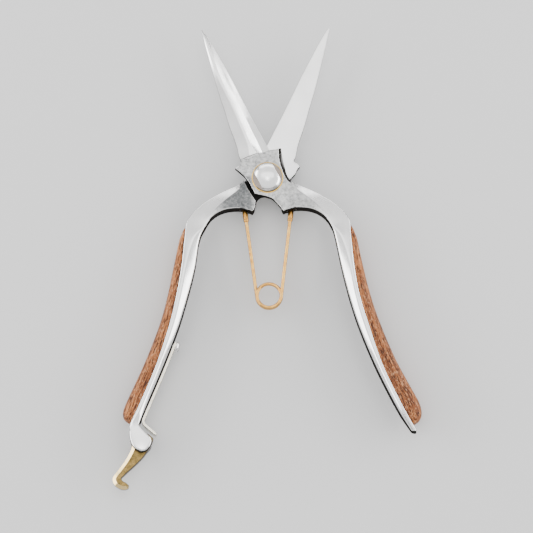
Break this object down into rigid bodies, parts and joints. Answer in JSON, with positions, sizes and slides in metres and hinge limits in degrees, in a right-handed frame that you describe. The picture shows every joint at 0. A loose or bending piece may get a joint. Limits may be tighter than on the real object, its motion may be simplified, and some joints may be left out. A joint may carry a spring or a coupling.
{
  "type": "floral snips",
  "caption": "Pointed floral snips with crossing forged steel arms, walnut grip scales, a wire spring between the handles and a swinging brass catch.",
  "frame": {"origin": "centre of the rear bolt head's flat face, on the pivot axis", "axes": "+Z along the pivot axis from the bolt head to the nut, +Y from the pivot towards the blade tips midway between them, +X towards the right handle, with the snips lying flat and open as in the picture"},
  "size_m": [0.1268, 0.1922, 0.0149],
  "materials": {
    "forged_steel": "forged and polished",
    "polished_steel": "polished",
    "brass": "polished",
    "spring_brass": "drawn wire and strip, bright",
    "walnut": "oiled, open pores"
  },
  "bodies": {
    "rear_arm": {"rear_arm": "forged_steel", "pivot_bolt": "polished_steel", "pivot_nut": "polished_steel", "front_washer": "brass", "rear_washer": "brass", "left_grip_scale": "walnut", "left_scale_screw_upper": "polished_steel", "left_scale_screw_lower": "polished_steel", "catch_pin": "polished_steel", "catch_leaf_screw": "polished_steel"},
    "front_arm": {"front_arm": "forged_steel", "right_grip_scale": "walnut", "right_scale_screw_upper": "polished_steel", "right_scale_screw_lower": "polished_steel"},
    "spring_left": {"spring_left_leg": "spring_brass", "spring_left_ferrule": "brass"},
    "spring_right": {"spring_right_leg": "spring_brass", "spring_right_ferrule": "brass"},
    "catch_hook": {"catch_hook": "brass"},
    "catch_leaf": {"catch_leaf": "spring_brass"}
  },
  "joints": [
    {"name": "pivot_hinge", "type": "hinge", "parent": "rear_arm", "child": "front_arm", "pos_m": [0, 0, 0.0066], "axis": [0, 0, -1], "range_deg": [-6, 46.5], "stiffness_Nm_per_rad": 0.6},
    {"name": "spring_left_swing", "type": "hinge", "parent": "rear_arm", "child": "spring_left", "pos_m": [-0.0097, -0.0115, 0.0066], "axis": [0, 0, -1], "range_deg": [-4.1, 31.4]},
    {"name": "spring_coil_hinge", "type": "hinge", "parent": "spring_left", "child": "spring_right", "pos_m": [0, -0.0487, 0.0066], "axis": [0, 0, -1], "range_deg": [-16.3, 2.2]},
    {"name": "catch_hinge", "type": "hinge", "parent": "rear_arm", "child": "catch_hook", "pos_m": [-0.0534, -0.1076, 0.0066], "axis": [0, 0, 1], "range_deg": [0, 82]},
    {"name": "catch_leaf_flex", "type": "hinge", "parent": "rear_arm", "child": "catch_leaf", "pos_m": [-0.03986, -0.06902, 0.0066], "axis": [0, 0, 1], "range_deg": [0, 5]}
  ],
  "couplings": [
    {"joint": "spring_left_swing", "follows": "pivot_hinge", "ratio": 0.674},
    {"joint": "spring_coil_hinge", "follows": "pivot_hinge", "ratio": -0.348},
    {"joint": "catch_leaf_flex", "follows": "catch_hinge", "ratio": 0.06}
  ]
}
